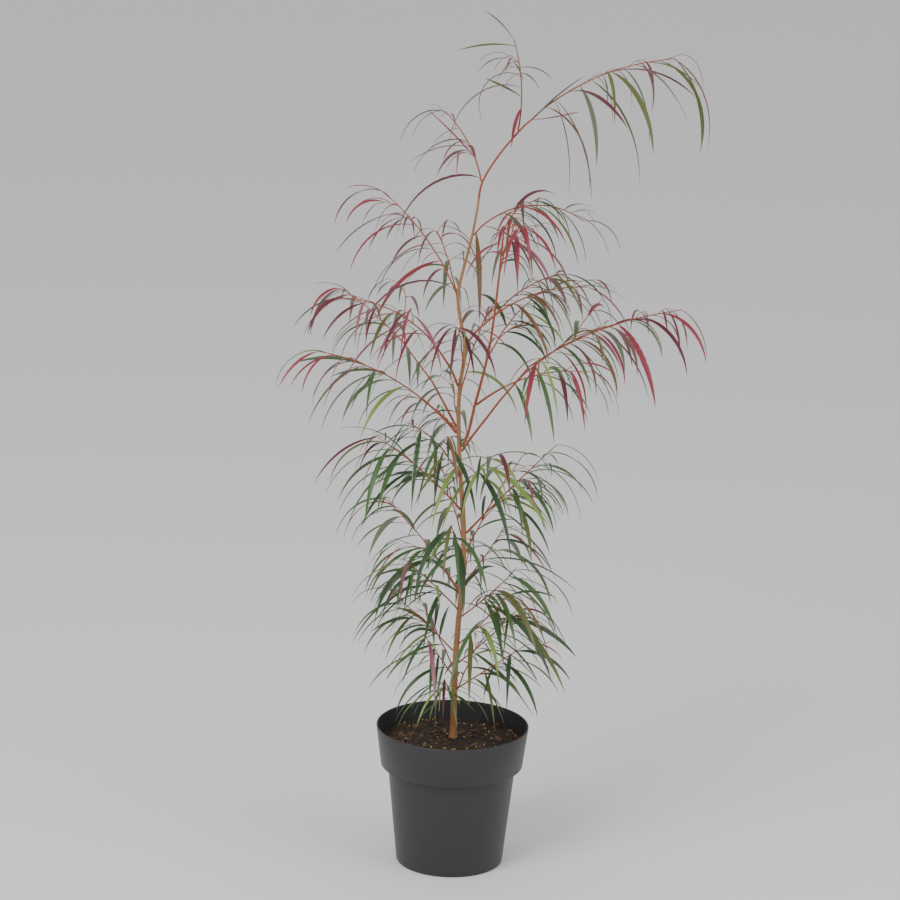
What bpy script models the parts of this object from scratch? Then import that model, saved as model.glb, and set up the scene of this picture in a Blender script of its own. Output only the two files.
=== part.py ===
"""Potted burgundy willow myrtle: a young weeping shrub in a 200 mm nursery pot, modelled in metres, +Z up.

The origin is the middle of the pot's underside. The stems, boughs and masses of foliage are grown by one
seeded rule from the table of shoots, whose sizes are in centimetres and degrees, as on a planting sheet.
"""
from collections import namedtuple
from math import cos, pi, sin
from random import Random

import bmesh
import bpy
import numpy as np

CM = 0.01

# Pot, in metres
POT_HEIGHT = 0.1944
RIM_RADIUS = 0.1037
BAND_HEIGHT = 0.0557
BAND_FOOT_RADIUS = 0.0967
LEDGE_DROP = 0.0035
BODY_TOP_RADIUS = 0.0868
BASE_RADIUS = 0.0729
WALL = 0.0020
FLOOR = 0.0025
EDGE_CHAMFER = 0.0015
ROUND_STEPS = 40
DRAIN_HOLES = 8
DRAIN_RADIUS = 0.0055
DRAIN_CIRCLE = 0.0560
SLOT_WIDTH = 0.0070
SLOT_HEIGHT = 0.0090
SLOT_BELOW_RIM = 0.0040
GAP = 0.0003

# Potting mix, in metres
MIX_MIDDLE = 0.1740
MIX_EDGE = 0.1712
MIX_FLAT_RADIUS = 0.0300

# Plant, in centimetres: height, right, back along the two stems
MAIN_GUIDE = (
    (17.43, 0.1, 0.6), (30.0, 0.2, 0.4), (44.0, 0.9, 0.2), (58.0, -0.1, 0.4), (66.0, -0.3, 0.4),
    (72.3, 0.3, 0.3), (79.0, -0.8, 0.3), (87.1, 0.8, 0.2), (94.6, 2.0, 0.0))
SECOND_GUIDE = (
    (57.8, -0.1, 0.4), (60.5, 1.0, -0.2), (64.5, 1.8, -0.8), (72.0, 3.4, -1.5), (80.0, 4.3, -1.9), (88.0, 4.9, -1.8))
# Heights of the rings of the main stem, closer at the root flare
MAIN_RINGS = (17.43, 17.8, 18.5, 19.6) + tuple(np.arange(22.0, 94.0, 3.0)) + (94.6,)
# Half width of the main stem at a height
MAIN_HALF = ((17.4, 0.62), (18.6, 0.46), (30.0, 0.40), (47.0, 0.33), (72.0, 0.24), (92.0, 0.15), (110.0, 0.11))
# Half width at the heel and at the tip
SECOND_HALF = (0.21, 0.12)
BOUGH_HALF = (0.17, 0.12)
TWIG_HALF = (0.11, 0.06)
SIDE_HALF = (0.08, 0.05)
# The far right bough carries two shoots: the height of its heel, then turn, rise, fall and reach
FORK_HEIGHT = 57.4
FORK_ARC = (20, 54, 46, 15.0)

# A turn of 0 points right, 90 back, 180 left and 270 forward. Slopes are degrees above level.
# bough is the bare share of a shoot's reach, leaf is a leaf's length, lift and hang are its first and last
# slope, splay is how far leaves turn off the shoot's line and sides is the number of side twigs.
Shoot = namedtuple("Shoot", "name stem height turn rise fall reach bough leaves leaf lift hang splay sides tint")
Leaf = namedtuple("Leaf", "path width roll twist tint share")
SHOOTS = (
    Shoot("leader", "top", 94.6, -4, 64, 6, 31.2, .33, 12, 15.5, -22, -100, 36, 0, "tip"),
    Shoot("top_tuft", "main", 101.2, 182, 100, 72, 12.5, 0, 0, 10.5, 20, -62, 60, 0, "tip"),
    Shoot("top_left", "main", 94.2, 168, 80, 42, 11.0, 0, 4, 8.5, 10, -74, 50, 0, "tip"),
    Shoot("upper_left", "main", 79.0, 160, 66, 34, 17.5, 0, 11, 11.5, 15, -74, 40, 0, "tip"),
    Shoot("upper_right", "main", 87.1, 12, 52, -38, 17.0, 0, 10, 10.5, 0, -80, 42, 0, "olive"),
    Shoot("second_top", "second_tip", 88.0, -10, 80, 40, 4.5, 0, 9, 10.5, 10, -86, 85, 0, "burgundy"),
    Shoot("second_high", "second", 85.0, -60, 60, 20, 7.5, 0, 8, 10.0, 10, -80, 65, 0, "burgundy"),
    Shoot("second_back", "second", 81.5, 75, 60, 15, 10.0, 0, 8, 10.5, 10, -76, 55, 0, "burgundy"),
    Shoot("second_middle", "second", 77.0, 5, 55, 10, 11.0, 0, 10, 11.0, 10, -76, 55, 0, "olive"),
    Shoot("second_low", "second", 70.5, 50, 55, 20, 12.0, 0, 10, 11.0, 10, -74, 55, 1, "green"),
    Shoot("right_arch", "main", 72.3, 8, 56, -4, 19.0, .36, 10, 10.5, 0, -80, 45, 0, "olive"),
    Shoot("far_right_upper", "fork", 66.4, 30, 40, 5, 19.0, 0, 12, 12.5, -2, -82, 40, 1, "green_tip"),
    Shoot("far_right_lower", "fork_tip", 69.7, 2, 36, 8, 22.0, 0, 13, 12.5, -8, -90, 40, 1, "tip"),
    Shoot("right_front", "second", 64.5, -42, 40, 6, 21.5, .28, 11, 12.0, 0, -82, 42, 1, "green_tip"),
    Shoot("left_high", "main", 66.3, 218, 66, 10, 25.0, .32, 12, 12.0, 10, -76, 40, 1, "tip"),
    Shoot("left_back", "main", 60.6, 140, 56, 18, 27.0, .32, 13, 11.5, 10, -74, 40, 1, "green_tip"),
    Shoot("left_middle_high", "main", 60.0, 190, 52, 12, 23.0, .32, 14, 12.0, 5, -78, 36, 1, "green_tip"),
    Shoot("left_middle", "main", 49.4, 203, 50, 35, 17.0, .24, 12, 12.5, 10, -76, 42, 1, "green"),
    Shoot("left_low", "main", 38.0, 152, 52, 36, 16.5, 0, 12, 13.0, 5, -76, 42, 1, "green"),
    Shoot("right_middle", "main", 46.2, -20, 50, 46, 19.0, .24, 11, 12.5, 5, -80, 42, 1, "green"),
    Shoot("right_inner", "main", 39.2, 32, 42, 55, 10.0, 0, 10, 12.5, 5, -76, 45, 0, "green"),
    Shoot("right_low", "main", 34.5, -18, 40, 50, 11.0, 0, 10, 13.5, 5, -72, 45, 1, "green"),
    Shoot("right_low_front", "main", 30.6, -52, 40, 46, 15.0, 0, 11, 13.5, 5, -72, 45, 1, "green"),
    Shoot("right_foot", "main", 27.8, 18, 34, 45, 11.0, 0, 10, 12.5, 5, -66, 45, 0, "green"),
    Shoot("foot_front", "main", 24.2, -30, 38, 38, 13.5, 0, 9, 11.0, 5, -66, 45, 0, "green"),
    Shoot("left_low_front", "main", 35.5, 222, 46, 38, 14.0, 0, 11, 13.0, 5, -76, 42, 1, "green"),
    Shoot("left_foot", "main", 29.5, 172, 44, 40, 12.5, 0, 11, 12.0, 5, -70, 42, 0, "green"),
    Shoot("left_foot_front", "main", 25.8, 240, 46, 44, 11.5, 0, 9, 11.0, 5, -72, 45, 0, "green"),
    Shoot("left_foot_back", "main", 27.0, 125, 44, 40, 12.0, 0, 10, 11.5, 5, -68, 45, 0, "green"),
    Shoot("left_inner", "main", 45.0, 118, 58, 45, 13.0, 0, 10, 12.5, 10, -74, 45, 0, "green"),
    Shoot("left_front", "main", 54.0, 236, 54, 24, 17.0, .22, 11, 12.5, 10, -76, 42, 1, "green"),
    Shoot("front_middle", "main", 50.8, -72, 50, 25, 17.0, .22, 11, 12.5, 10, -76, 42, 1, "green"),
    Shoot("front_low", "main", 41.5, -100, 50, 32, 14.0, 0, 10, 12.5, 10, -76, 42, 0, "green"),
    Shoot("front_foot", "main", 21.8, -105, 52, 40, 8.0, 0, 8, 9.5, 5, -70, 60, 0, "green"),
    Shoot("front_high", "main", 69.2, -95, 58, 10, 16.0, 0, 10, 11.5, 10, -74, 42, 0, "green_tip"),
    Shoot("back_foot", "main", 23.0, 60, 50, 40, 9.0, 0, 8, 10.5, 5, -64, 50, 0, "green"),
    Shoot("back_low", "main", 33.0, 82, 46, 35, 15.0, 0, 11, 12.5, 10, -74, 45, 1, "green"),
    Shoot("back_right", "main", 43.0, 55, 50, 30, 18.0, 0, 11, 12.0, 10, -74, 42, 1, "green"),
    Shoot("back_middle", "main", 53.0, 96, 52, 22, 19.0, .22, 12, 12.0, 10, -74, 42, 1, "green"),
    Shoot("back_high", "main", 64.2, 72, 58, 15, 19.0, 0, 11, 11.5, 10, -74, 42, 0, "green_tip"),
    Shoot("back_upper", "main", 76.0, 108, 62, 20, 15.0, 0, 10, 11.0, 10, -74, 42, 0, "green_tip"),
)
PARENTS = {"main": "main_stem", "second": "second_stem", "second_tip": "second_stem",
           "fork": "far_right_bough", "fork_tip": "far_right_bough"}

# Single leaves that the outline rests on: share of the shoot, turn, length, lift, hang, width
KEY_LEAVES = {
    "leader": ((0.02, -4, 9.0, 52, 34, .95), (0.012, -30, 7.5, 10, 18, .8), (0.2, 20, 13.0, -60, -94, .6),
               (0.26, 60, 5.5, 88, 60, .6), (0.99, -12, 14.0, -20, -104, .75)),
    "top_tuft": ((0.99, 184, 5.5, 62, 30, .6), (0.92, 196, 8.0, 14, -16, .6), (0.46, 194, 14.5, 30, -90, .9),
                 (0.58, 166, 11.0, 40, -122, .75), (0.36, 176, 5.5, 34, 18, .6), (0.24, 205, 5.5, -60, -90, .8),
                 (0.68, 4, 5.0, 20, -50, .5)),
    "top_left": ((0.03, 186, 15.5, 25, -82, .95), (0.30, 180, 9.2, 50, 40, .6), (0.44, 200, 9.0, 22, -36, .75),
                 (0.72, 210, 11.0, -48, -72, .7), (0.99, 180, 8.5, 24, -84, .6)),
    "upper_left": ((0.03, 186, 20.0, 42, -96, .95),),
    "upper_right": ((0.10, -20, 17.5, 2, -88, 1.0), (0.02, -80, 12.5, -40, -92, .8)),
    "right_low": ((0.3, -40, 19.0, 10, -62, 1.0),),
    "right_inner": ((0.4, 0, 15.0, 20, -48, .8),),
}

# The rule
SEED = 41
TWIG_STEPS = 7
SIDE_STEPS = 3
FORK_STEPS = 5
LEAF_STEPS = 12
SWAY = 4.0
LEAF_EASE = 0.75
JOIN_GAP = 0.03
HEEL_STEP = 0.01
SHORTEST_STEP = 0.15
LEVEL_ENOUGH = 0.15
FIRST_LEAF = 0.08
FIRST_LEAF_ON_STEM = 0.16
SIDE_LEAVES = 4
TRIES = 12
PERKY_SHARE = 0.14
WIDEST_LEAF = 0.95
ROOM_MARGIN = 0.09
OWN_START = 3
LIMB_OWNER = 100
# Leaves stay this far above the mix, and inside this radius below this height, so they clear the pot
LEAF_FLOOR = 17.75
POT_GUARD = 21.5
POT_REACH = 8.8

# Solids
MAIN_SIDES = 8
BOUGH_SIDES = 6
TWIG_SIDES = 3
LEAF_CHORDS = (0, 5, 12)
LEAF_THICKNESS = 0.013
STALK_HALF = 0.07
LEAVES_LEFT_OUT = 2
COLOURS = {
    "pot": (0.035, 0.035, 0.037), "mix": (0.020, 0.014, 0.010), "bark": (0.42, 0.22, 0.09),
    "red_bark": (0.30, 0.07, 0.04), "tip": (0.16, 0.035, 0.055), "burgundy": (0.13, 0.015, 0.03),
    "olive": (0.14, 0.15, 0.04), "green_tip": (0.09, 0.14, 0.05), "green": (0.05, 0.11, 0.04)}


def heading(turn, rise):
    """unit vector at a turn from the right and a rise above level"""
    t, r = np.radians(turn), np.radians(rise)
    return np.array([np.cos(t) * np.cos(r), np.sin(t) * np.cos(r), np.sin(r)])


def smooth_through(guide, steps):
    """smooth curve through guide points given as height, right, back"""
    p = np.array([(x, y, z) for z, x, y in guide])
    p = np.vstack([2 * p[0] - p[1], p, 2 * p[-1] - p[-2]])
    points = []
    for a, b, c, d in zip(p[:-3], p[1:-2], p[2:-1], p[3:]):
        for t in np.arange(steps) / steps:
            bend = (2 * a - 5 * b + 4 * c - d) * t + (3 * b - a - 3 * c + d) * t * t
            points.append(b + 0.5 * t * ((c - a) + bend))
    points.append(p[-2])
    return np.array(points)


def arc(start, turn, rise, fall, length, steps, sway=0.0, ease=1.0):
    """points of a limb or leaf whose slope goes from rise to fall along its length"""
    points = [np.array(start, float)]
    for k in range(steps):
        t = (k + 0.5) / steps
        step = heading(turn + sway * (-1) ** k, rise + (fall - rise) * t ** ease)
        points.append(points[-1] + step * length / steps)
    return np.array(points)


def distances(path):
    """distance of each point from the start of its path"""
    return np.append(0.0, np.cumsum(np.linalg.norm(np.diff(path, axis=0), axis=1)))


def along(path, share):
    """point and direction at a share of a path's length"""
    far = distances(path)
    k = min(np.searchsorted(far, share * far[-1], side="right") - 1, len(path) - 2)
    run = (path[k + 1] - path[k]) / (far[k + 1] - far[k])
    return path[k] + run * (share * far[-1] - far[k]), run


def at_height(path, height):
    """point of a rising path at a height"""
    return np.array([np.interp(height, path[:, 2], path[:, axis]) for axis in range(3)])


def cut(path, begin, end):
    """stretch of a path between two distances from its start"""
    far = distances(path)
    inner = path[(far > begin + SHORTEST_STEP) & (far < end - SHORTEST_STEP)]
    first, last = (along(path, distance / far[-1])[0] for distance in (begin, end))
    return np.vstack([first, inner, last])


def taper(path, base, tip):
    """half width at each point of a limb"""
    far = distances(path)
    return base + (tip - base) * far / far[-1]


def nearest(a, b, starts, ends):
    """least distance from the line a to b to each line of a list"""
    u, v, w = b - a, ends - starts, a - starts
    uu, vu, vv = u @ u, v @ u, (v * v).sum(axis=1)
    wu, wv = w @ u, (v * w).sum(axis=1)
    spread = np.maximum(uu * vv - vu * vu, 1e-12)
    s = np.clip((vu * wv - vv * wu) / spread, 0, 1)
    t = np.clip((vu * s + wv) / vv, 0, 1)
    s = np.clip((vu * t - wu) / uu, 0, 1)
    return np.linalg.norm(w + np.outer(s, u) - v * t[:, None], axis=1)


def heel_distance(path, half, parent, parent_half):
    """how far along a side limb its end cap is clear of the parent that it leaves"""
    length = distances(path)[-1]
    distance = 0.0
    while True:
        distance += HEEL_STEP
        point, run = along(path, distance / length)
        k = int(nearest(point, point + run * HEEL_STEP, parent[:-1], parent[1:]).argmin())
        edge = parent[k + 1] - parent[k]
        share = np.clip((point - parent[k]) @ edge / (edge @ edge), 0, 1)
        to_axis = parent[k] + edge * share - point
        clear = np.linalg.norm(to_axis)
        slant = np.sqrt(max(0.0, 1 - (to_axis @ run / clear) ** 2))
        around = parent_half[k] + (parent_half[k + 1] - parent_half[k]) * share
        if clear - half * slant > around + JOIN_GAP:
            return distance


class Crown:
    """every stretch of stem, twig and leaf that already stands, with its half width and its owner"""

    def __init__(self):
        self.starts = np.zeros((0, 3))
        self.ends = np.zeros((0, 3))
        self.half = np.zeros(0)
        self.owner = np.zeros(0, int)

    def add(self, path, half, owner):
        self.starts = np.vstack([self.starts, path[:-1]])
        self.ends = np.vstack([self.ends, path[1:]])
        self.half = np.append(self.half, (half[:-1] + half[1:]) / 2)
        self.owner = np.append(self.owner, np.full(len(path) - 1, owner))

    def is_free(self, path, half, skip):
        """whether a path keeps clear of everything but the owners to skip"""
        others = ~np.isin(self.owner, skip)
        starts, ends, width = self.starts[others], self.ends[others], self.half[others]
        for k in range(len(path) - 1):
            need = width + (half[k] + half[k + 1]) / 2 + ROOM_MARGIN
            if (nearest(path[k], path[k + 1], starts, ends) < need).any():
                return False
        return True


def leaf_half_width(t, width):
    """half width of a willow leaf at a share t of its length"""
    return width / 2 * np.sin(np.pi * np.clip(t, 0, 1) ** 0.72) ** 0.9


def clear_of_pot(path):
    """whether a leaf stays above the mix and off the pot's wall"""
    radius = np.hypot(path[:, 0], path[:, 1])
    return path[:, 2].min() > LEAF_FLOOR and not (radius[path[:, 2] < POT_GUARD] > POT_REACH).any()


def try_leaf(crown, path, width, mass):
    """stands a leaf in the crown if there is room for it; near its root it may touch its own mass"""
    half = leaf_half_width(np.linspace(0, 1, LEAF_STEPS + 1), width)
    chords, chord_half = path[list(LEAF_CHORDS)], half[list(LEAF_CHORDS)]
    chords[0], chord_half[0] = path[1], half[1]
    own_twigs, own_leaves = mass, -1 - mass
    room = (clear_of_pot(path)
            and crown.is_free(path[1:], half[1:], (own_twigs, own_leaves))
            and crown.is_free(path[OWN_START:], half[OWN_START:], (own_twigs,))
            and crown.is_free(chords, chord_half, (own_twigs, own_leaves)))
    if room:
        crown.add(path[1:], half[1:], own_leaves)
    return room


def draw_leaf(rng, shoot, twig, share, side, scale):
    """one leaf by the rule: it leaves its twig at a turn and a lift, arches over and hangs"""
    root, run = along(twig, share)
    level = np.hypot(run[0], run[1]) > LEVEL_ENOUGH
    turn = np.degrees(np.arctan2(run[1], run[0])) if level else shoot.turn
    turn += side * shoot.splay * rng.uniform(0.35, 1.3) + rng.uniform(-12, 12)
    length = shoot.leaf * scale * rng.uniform(0.7, 1.2)
    lift = shoot.lift + rng.uniform(-22, 24)
    hang = shoot.hang + rng.uniform(-8, 14)
    if rng.random() < PERKY_SHARE and side:
        lift += 35
        hang += 45
        length *= 0.8
    width = min(WIDEST_LEAF, length * rng.uniform(0.048, 0.066))
    roll, twist = rng.uniform(-25, 25), rng.uniform(-70, 70)
    path = arc(root, turn, lift, hang, length, LEAF_STEPS, ease=LEAF_EASE)
    return Leaf(path, width, roll, twist, shoot.tint, share)


def add_side_twig(rng, crown, mass, owner, share, side):
    """a short twig that forks from a shoot, where there is room"""
    shoot, stem = mass["shoot"], mass["twigs"][0][0]
    root, run = along(stem, share)
    line = np.degrees(np.arctan2(run[1], run[0]))
    for _ in range(TRIES):
        reach = shoot.reach * rng.uniform(0.34, 0.46)
        turn, rise, fall = line + side * rng.uniform(32, 55), rng.uniform(30, 50), rng.uniform(5, 25)
        path = arc(root, turn, rise, fall, reach, SIDE_STEPS, SWAY)
        half = taper(path, *SIDE_HALF)
        if crown.is_free(path[1:], half[1:], (owner,)):
            crown.add(path, half, owner)
            mass["twigs"].append((path, half))
            return


def add_leaves(rng, crown, mass, owner):
    """the key leaves of a shoot, then leaves on alternate sides along its stem and its side twigs"""
    shoot, stem = mass["shoot"], mass["twigs"][0][0]
    for share, turn, length, lift, hang, width in KEY_LEAVES.get(shoot.name, ()):
        path = arc(along(stem, share)[0], turn, lift, hang, length, LEAF_STEPS, ease=LEAF_EASE)
        if try_leaf(crown, path, width, owner):
            mass["leaves"].append(Leaf(path, width, rng.uniform(-15, 15), rng.uniform(-40, 40), shoot.tint, 0.0))
    for number, (twig, _) in enumerate(mass["twigs"]):
        count, scale = (SIDE_LEAVES, 0.85) if number else (shoot.leaves, 1.0)
        first = FIRST_LEAF if number or shoot.bough else FIRST_LEAF_ON_STEM
        for n in range(1, count + 1):
            side = 0 if n == count else (-1) ** n
            for _ in range(TRIES):
                place = (n - rng.uniform(0, 0.45) * (n < count)) / count
                share = first + (1 - first) * place
                leaf = draw_leaf(rng, shoot, twig, share, side, scale * (1 - 0.2 * abs(2 * share - 1)))
                if try_leaf(crown, leaf.path, leaf.width, owner):
                    mass["leaves"].append(leaf)
                    break


def grow_limbs():
    """the stems, the boughs and the bare stem of every mass, each 0.3 mm clear of what it leaves"""
    leader = SHOOTS[0]
    guide = smooth_through(MAIN_GUIDE, 6)
    guide = np.array([at_height(guide, height) for height in MAIN_RINGS])
    leader_path = arc(guide[-1], leader.turn, leader.rise, leader.fall, leader.reach, TWIG_STEPS, SWAY)
    bare = leader.bough * leader.reach
    main = np.vstack([guide, cut(leader_path, 0, bare)[1:]])
    limbs = {"main_stem": (main, np.interp(main[:, 2], *zip(*MAIN_HALF)))}
    second = smooth_through(SECOND_GUIDE, 3)
    second = cut(second, heel_distance(second, SECOND_HALF[0], *limbs["main_stem"]), distances(second)[-1])
    limbs["second_stem"] = (second, taper(second, *SECOND_HALF))
    fork = arc(at_height(main, FORK_HEIGHT), *FORK_ARC, FORK_STEPS, SWAY)
    fork = cut(fork, heel_distance(fork, BOUGH_HALF[0], *limbs["main_stem"]), distances(fork)[-1])
    limbs["far_right_bough"] = (fork, taper(fork, *BOUGH_HALF))
    masses = {}
    for shoot in SHOOTS:
        if shoot is leader:
            path, begin = leader_path, bare + JOIN_GAP
        else:
            parent = limbs[PARENTS[shoot.stem]]
            at_tip = shoot.stem.endswith("_tip")
            root = parent[0][-1] if at_tip else at_height(parent[0], shoot.height)
            path = arc(root, shoot.turn, shoot.rise, shoot.fall, shoot.reach, TWIG_STEPS, SWAY)
            if at_tip:
                bend = np.linalg.norm(np.cross(along(parent[0], 1.0)[1], along(path, 0.0)[1]))
                begin = JOIN_GAP + BOUGH_HALF[1] * bend
            else:
                begin = heel_distance(path, (BOUGH_HALF if shoot.bough else TWIG_HALF)[0], *parent)
            if shoot.bough:
                bare = shoot.bough * shoot.reach
                bough = cut(path, begin, bare)
                limbs[shoot.name + "_bough"] = (bough, taper(bough, *BOUGH_HALF))
                begin = bare + JOIN_GAP
        twig = cut(path, begin, shoot.reach)
        masses[shoot.name] = {"shoot": shoot, "twigs": [(twig, taper(twig, *TWIG_HALF))], "leaves": []}
    return limbs, masses


def grow():
    """the whole plant: its limbs, and the twigs and leaves of every mass"""
    limbs, masses = grow_limbs()
    crown = Crown()
    for owner, (path, half) in enumerate(limbs.values(), LIMB_OWNER):
        crown.add(path, half, owner)
    for owner, mass in enumerate(masses.values()):
        crown.add(*mass["twigs"][0], owner)
    for owner, mass in enumerate(masses.values()):
        rng = Random(SEED + owner)
        for j in range(mass["shoot"].sides):
            add_side_twig(rng, crown, mass, owner, 0.3 + 0.28 * j, (-1) ** (owner + j))
        add_leaves(rng, crown, mass, owner)
    return limbs, masses


def new_material(name, colour, roughness):
    """plain Principled material"""
    material = bpy.data.materials.new(name)
    material.use_nodes = True
    shader = material.node_tree.nodes["Principled BSDF"]
    shader.inputs["Base Color"].default_value = (*colour, 1.0)
    shader.inputs["Roughness"].default_value = roughness
    shader.inputs["Metallic"].default_value = 0.0
    return material


def new_object(name, points, faces, colour, roughness=0.6, collection=None):
    """closed mesh object with its faces pointing out, and its own material"""
    mesh = bpy.data.meshes.new(name)
    mesh.from_pydata([tuple(point) for point in points], [], faces)
    form = bmesh.new()
    form.from_mesh(mesh)
    bmesh.ops.recalc_face_normals(form, faces=form.faces)
    if form.calc_volume(signed=True) < 0:
        bmesh.ops.reverse_faces(form, faces=form.faces)
    bmesh.ops.triangulate(form, faces=[face for face in form.faces if len(face.verts) == 4])
    form.to_mesh(mesh)
    form.free()
    mesh.materials.append(new_material(name, COLOURS[colour], roughness))
    piece = bpy.data.objects.new(name, mesh)
    (collection or bpy.context.scene.collection).objects.link(piece)
    return piece


def bridge_rings(rings):
    """points and faces of a closed body through a row of rings of equal size"""
    points = np.vstack(rings)
    size, last = len(rings[0]), len(rings) - 1
    faces = [tuple(reversed(range(size))), tuple(last * size + k for k in range(size))]
    for r in range(last):
        low, high = r * size, (r + 1) * size
        for k in range(size):
            n = (k + 1) % size
            faces.append((low + k, low + n, high + n, high + k))
    return points, faces


def limb_rings(path, half, sides, level_foot=False):
    """rings of a tapering limb, square to its path and free of twist"""
    runs = np.diff(path, axis=0)
    runs = runs / np.linalg.norm(runs, axis=1)[:, None]
    across = np.cross(runs[0], (0.0, 1.0, 0.0))
    rings = []
    for k, point in enumerate(path):
        run = runs[max(k - 1, 0)] + runs[min(k, len(runs) - 1)]
        run = run / np.linalg.norm(run)
        across = across - run * (across @ run)
        across = across / np.linalg.norm(across)
        up = np.cross(run, across)
        ring = [point + half[k] * (across * cos(2 * pi * n / sides) + up * sin(2 * pi * n / sides))
                for n in range(sides)]
        if level_foot and k == 0:
            ring = [np.array([x, y, point[2]]) for x, y, _ in ring]
        rings.append(np.array(ring) * CM)
    return rings


def leaf_rings(leaf):
    """three-sided sections of a leaf: a stalk end, its widest part and a fine tip, with a keel below"""
    path = leaf.path
    level = path[LEAF_CHORDS[1]] - path[0]
    side = np.array([-level[1], level[0], 0.0])
    side = side / np.linalg.norm(side)
    half = leaf_half_width(np.linspace(0, 1, LEAF_STEPS + 1), leaf.width)
    length = distances(path)[-1]
    rings = []
    for k in LEAF_CHORDS[:-1]:
        run = path[k + 1] - path[k]
        run = run / np.linalg.norm(run)
        turn = np.radians(leaf.roll + leaf.twist * k / LEAF_STEPS)
        across = side * np.cos(turn) + np.cross(run, side) * np.sin(turn)
        below = np.cross(across, run)
        wide = max(half[k], STALK_HALF)
        deep = LEAF_THICKNESS * length if k else 2 * STALK_HALF
        middle = path[k] - below * deep / 3
        rings.append(np.array([middle + across * wide, middle - across * wide, middle + below * deep]) * CM)
    return rings, path[-1] * CM


def add_leaf(name, leaf, collection):
    """solid leaf whose stalk end is sunk in its twig"""
    rings, tip = leaf_rings(leaf)
    points, faces = bridge_rings(rings)
    last = len(points) - 3
    points = np.vstack([points, tip])
    faces = [faces[0]] + faces[2:] + [(last + k, last + (k + 1) % 3, len(points) - 1) for k in range(3)]
    return new_object(name, points, faces, leaf.tint, collection=collection)


def keep_main_body(piece):
    """drops loose scraps, and fills a hollow that fusing has sealed, by keeping the largest shell"""
    form = bmesh.new()
    form.from_mesh(piece.data)
    unseen = set(form.verts)
    shells = []
    while unseen:
        shell, front = set(), [unseen.pop()]
        while front:
            vert = front.pop()
            shell.add(vert)
            for edge in vert.link_edges:
                other = edge.other_vert(vert)
                if other in unseen:
                    unseen.discard(other)
                    front.append(other)
        shells.append(shell)
    shells.sort(key=len)
    loose = [vert for shell in shells[:-1] for vert in shell]
    bmesh.ops.delete(form, geom=loose, context="VERTS")
    form.to_mesh(piece.data)
    form.free()


def fuse(piece, collection):
    """one union of a piece with everything in a collection, whose objects are then removed"""
    union = piece.modifiers.new("union", "BOOLEAN")
    union.operation = "UNION"
    union.operand_type = "COLLECTION"
    union.collection = collection
    union.solver = "MANIFOLD"
    bpy.context.view_layer.objects.active = piece
    bpy.ops.object.modifier_apply(modifier=union.name)
    for other in list(collection.objects):
        bpy.data.objects.remove(other)
    bpy.data.collections.remove(collection)
    keep_main_body(piece)


def build_mass(name, mass):
    """one mass of foliage: its stem, with side twigs and leaves fused on"""
    stem, *side_twigs = mass["twigs"]
    piece = new_object("foliage_" + name, *bridge_rings(limb_rings(*stem, TWIG_SIDES)), mass["shoot"].tint)
    parts = bpy.data.collections.new(name)
    bpy.context.scene.collection.children.link(parts)
    for number, twig in enumerate(side_twigs):
        rings = limb_rings(*twig, TWIG_SIDES)
        new_object(f"{name}_twig_{number}", *bridge_rings(rings), mass["shoot"].tint, collection=parts)
    for number, leaf in enumerate(mass["leaves"]):
        if leaf.share == 0 or number % LEAVES_LEFT_OUT:
            add_leaf(f"{name}_leaf_{number}", leaf, parts)
    fuse(piece, parts)


def turned(name, profile, colour, roughness):
    """closed round body turned from a profile of radius and height that starts and ends on the axis"""
    points = [(0.0, 0.0, profile[0][1])]
    faces = []
    for radius, height in profile[1:-1]:
        angles = (2 * pi * k / ROUND_STEPS for k in range(ROUND_STEPS))
        points += [(radius * cos(angle), radius * sin(angle), height) for angle in angles]
    points.append((0.0, 0.0, profile[-1][1]))
    top = len(points) - 1
    for k in range(ROUND_STEPS):
        n = (k + 1) % ROUND_STEPS
        faces.append((0, 1 + n, 1 + k))
        faces.append((top, top - ROUND_STEPS + k, top - ROUND_STEPS + n))
        for ring in range(len(profile) - 3):
            low = 1 + ring * ROUND_STEPS
            faces.append((low + k, low + n, low + n + ROUND_STEPS, low + k + ROUND_STEPS))
    return new_object(name, points, faces, colour, roughness)


def add_cutter(name, add, cutters, **sizes):
    """hidden cutter made with a primitive operator"""
    add(**sizes)
    cutter = bpy.context.active_object
    cutter.name = name
    for holder in list(cutter.users_collection):
        holder.objects.unlink(cutter)
    cutters.objects.link(cutter)
    cutter.hide_render = True
    cutter.display_type = "WIRE"
    return cutter


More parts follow.
